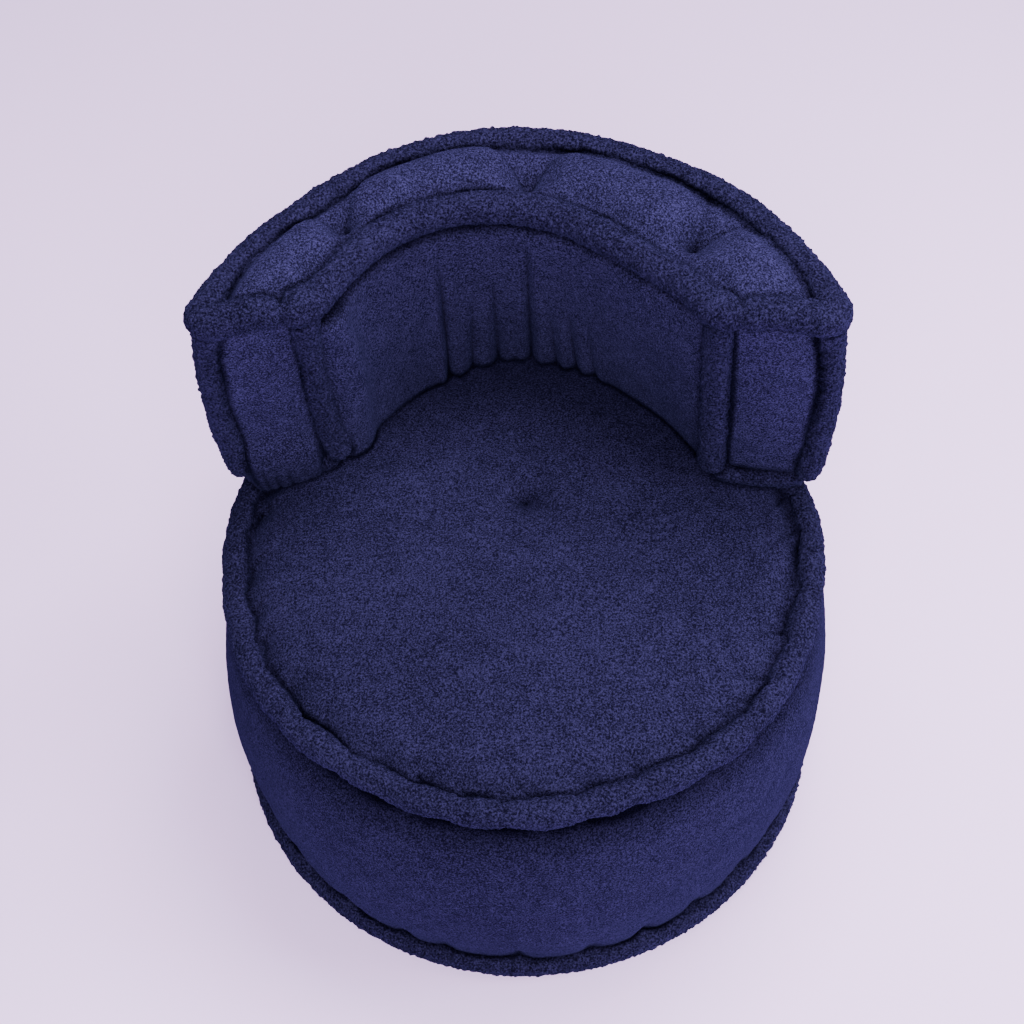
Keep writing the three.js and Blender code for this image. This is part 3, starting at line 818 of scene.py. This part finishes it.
# soft upright puckers, most under the inner roll
stretched = np.stack([turn * 0.2, points[:, 2] * 0.28, turn * 0], 1)
puckers = puckerLook["least"] + (1 - puckerLook["least"]) * ramp(up, *puckerLook["between"])
puckers *= puckerLook["height"] * lumps(stretched, puckerLook["size"], puckerLook["seed"])
points += out * (onInner * puckers)[:, None]
atLeft = (along == 1) * ramp(across, 0.02, 0.10) * (1 - ramp(across, 0.90, 0.98))
# painted shade: the left end darker towards its foot, and dark lines along its gathers
foldShade += atLeft * footGathers["footShade"] * hill(up, footGathers["footReach"])
for place, depth in footGathers["places"]:
    away = across - place - 0.1 * up
    strength = atLeft * np.exp(-up / footGathers["height"])
    points[:, 1] += strength * depth * peak(away, footGathers["reach"])
    foldShade += strength * footGathers["shade"] * hill(away, footGathers["line"])
atEnds = atEnd * ramp(up, 0.02, 0.08) * (1 - ramp(up, 0.93, 0.97))
# painted shade along the seams of the end panels
for place in endSeams["places"]:
    pullIn = atEnds * hill(across - place, endSeams["reach"])
    foldShade += endSeams["shade"] * pullIn
    points[:, 1] += endSeams["pull"] * pullIn
setPoints(backCushion, points)
facing = normalsOf(backCushion)
points += facing * lumpy(points, backSizes["lumps"])[:, None]
setPoints(backCushion, points)
dress(backCushion, backPile)
print("backrest cushion made")


# Painted shade: the pile colour darkens where one piece meets the next, in the folds and under the rolls
creaseLook = {"near": 0.0020, "reach": 0.0040, "power": 1.2, "searchMargin": 0.008,
              "patch": 0.06, "patchShare": 0.3, "footReach": 0.022, "footShade": 0.06,
              "underRim": 0.45, "underTop": 0.18, "underBand": (0.004, 0.013)}
leftFoot, leftHead = onBackLine("innerFoot", 1), onBackLine("innerTop", 1)
standsFor = {
    "seatTopRoll": "seat_top_roll", "seatBottomRoll": "seat_bottom_roll", "backTopRoll": "back_top_roll",
    "backBottomRoll": "back_bottom_roll", "seatCushion": "seat_cushion", "backCushion": "back_cushion",
    "backUprightRollOuterRight": "back_upright_roll_outer_right",
    "backUprightRollInnerRight": "back_upright_roll_inner_right",
    "backUprightRollInnerLeft": "back_upright_roll_inner_left",
    "backUprightRollOuterLeft": "back_upright_roll_outer_left",
}
pieceTrees, piecePoints = {}, {}
for pieceName in standsFor:
    places = pointsOf(bpy.data.objects[pieceName])
    search = KDTree(len(places))
    for number, spot in enumerate(places.tolist()):
        search.insert(spot, number)
    search.balance()
    pieceTrees[pieceName], piecePoints[pieceName] = search, places
for pieceName, places in piecePoints.items():
    nearest = np.full(len(places), 1.0)
    for otherName, search in pieceTrees.items():
        if otherName == pieceName:
            continue
        low = piecePoints[otherName].min(0) - creaseLook["searchMargin"]
        high = piecePoints[otherName].max(0) + creaseLook["searchMargin"]
        for number in np.flatnonzero(np.all((places > low) & (places < high), axis=1)):
            nearest[number] = min(nearest[number], search.find(places[number])[2])
    crease = np.clip(1 - (nearest - creaseLook["near"]) / creaseLook["reach"], 0, 1) ** creaseLook["power"]
    patches = np.clip(lumps(places, creaseLook["patch"], 95) * 2, -1, 1)
    crease *= 1 - creaseLook["patchShare"] * (1 - patches)  # painted shade, stronger in some patches than in others
    # the wall runs on into the left corner's roll without a seam
    if pieceName == "backUprightRollInnerLeft":
        lift = np.clip((places[:, 2] - leftFoot[2]) / (leftHead[2] - leftFoot[2]), 0, 1)
        crease *= 1 - ramp(places[:, 0] - leftFoot[0] * (1 - lift) - leftHead[0] * lift, -0.006, 0.002)
    # painted shadow on the underside of the seat's rim roll and of the backrest's top roll
    if pieceName == "seatTopRoll":
        outside = np.hypot(places[:, 0], places[:, 1]) > seatRim["line"]
        below = seatRim["height"] - places[:, 2]
        crease += creaseLook["underRim"] * outside * ramp(below, *creaseLook["underBand"])
    if pieceName == "backTopRoll":
        below = backLines["innerTop"]["z"] - places[:, 2]
        crease += creaseLook["underTop"] * ramp(below, *creaseLook["underBand"])
    crease = np.clip(crease, 0, 1)
    if pieceName == "backCushion":
        atCorner = (across < 0.3) * ramp(along, 0.92, 0.95)
        crease *= 1 - atCorner * ramp(up, 0.1, 0.2) * (1 - ramp(up, 0.9, 0.97))
        crease *= 1 - 0.7 * overFoot
        crease = np.clip(crease + foldShade, 0, 1)
    if pieceName == "seatCushion":
        # painted shade on the seat near the backrest's foot
        footShade = np.zeros(len(places))
        low, high = piecePoints["backCushion"].min(0), piecePoints["backCushion"].max(0)
        near = np.all((places > low - creaseLook["footReach"]) & (places < high), axis=1)
        for number in np.flatnonzero(near):
            away = pieceTrees["backCushion"].find(places[number])[2]
            footShade[number] = creaseLook["footShade"] * max(0, 1 - away / creaseLook["footReach"])
        crease = np.clip(crease + seatShade + footShade, 0, 1)
    store = bpy.data.objects[pieceName].data.attributes.new("crease", "FLOAT", "POINT")
    store.data.foreach_set("value", crease.astype(np.float32))
print("creases shaded")

# What stands for what
for pieceName, node in standsFor.items():
    piece = bpy.data.objects[pieceName]
    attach(piece, "root")
    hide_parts(node)


# Plain pale floor, soft lights, and the camera where the photograph was taken
ground = {"half": 14.0, "colour": (0.85, 0.58, 1.0, 1), "roughness": 0.9, "specular": 0.1}
floorCorners = [(x * ground["half"], y * ground["half"], 0) for x, y in ((-1, -1), (1, -1), (1, 1), (-1, 1))]
floor = linkMesh("paleFloor", floorCorners, [], [(0, 1, 2, 3)])
paleCloth = bpy.data.materials.new("paleCloth")
paleCloth.use_nodes = True
paleShader = paleCloth.node_tree.nodes["Principled BSDF"]
paleShader.inputs["Base Color"].default_value = ground["colour"]
paleShader.inputs["Roughness"].default_value = ground["roughness"]
paleShader.inputs["Specular IOR Level"].default_value = ground["specular"]
floor.data.materials.append(paleCloth)

studio = {"colour": (0.91, 0.91, 1.0, 1), "strength": 0.80}
world = bpy.data.worlds.new("studio")
scene.world = world
world.use_nodes = True
surround = world.node_tree.nodes["Background"]
surround.inputs["Color"].default_value = studio["colour"]
surround.inputs["Strength"].default_value = studio["strength"]

lights = {
    "rear": {"at": (0.4, 0.5, 2.3), "size": 1.1, "power": 84},
    "sideRight": {"at": (2.3, -0.3, 0.9), "size": 0.9, "power": 66},
    "frontAbove": {"at": (0.1, -2.35, 2.3), "size": 1.6, "power": 172},
}
lightColour = (0.97, 0.96, 1)
lightsAim = Vector((0, 0, 0.3))
for lightName, rule in lights.items():
    data = bpy.data.lights.new(lightName, "AREA")
    data.size = rule["size"]
    data.energy = rule["power"]
    data.color = lightColour
    lamp = linkObject(lightName, data)
    lamp.location = rule["at"]
    lamp.rotation_mode = "QUATERNION"
    lamp.rotation_quaternion = (lightsAim - Vector(rule["at"])).to_track_quat("-Z", "Y")

# right, above and back are the camera's own axes
view = {"at": (0, -1.06246652, 1.82517139), "planeDistance": 1855, "frameWidth": 1024, "sensor": 36,
        "right": (0.99965896, -0.01770583, -0.01919565),
        "above": (0.02565322, 0.80335547, 0.59494697),
        "back": (0.0048869, -0.5952365, 0.80353571)}
camera = linkObject("camera", bpy.data.cameras.new("camera"))
camera.data.sensor_width = view["sensor"]
camera.data.lens = view["planeDistance"] / view["frameWidth"] * view["sensor"]
turned = Matrix((view["right"], view["above"], view["back"])).transposed().to_4x4()
camera.matrix_world = Matrix.Translation(view["at"]) @ turned
scene.camera = camera
print("floor, lights and camera set")
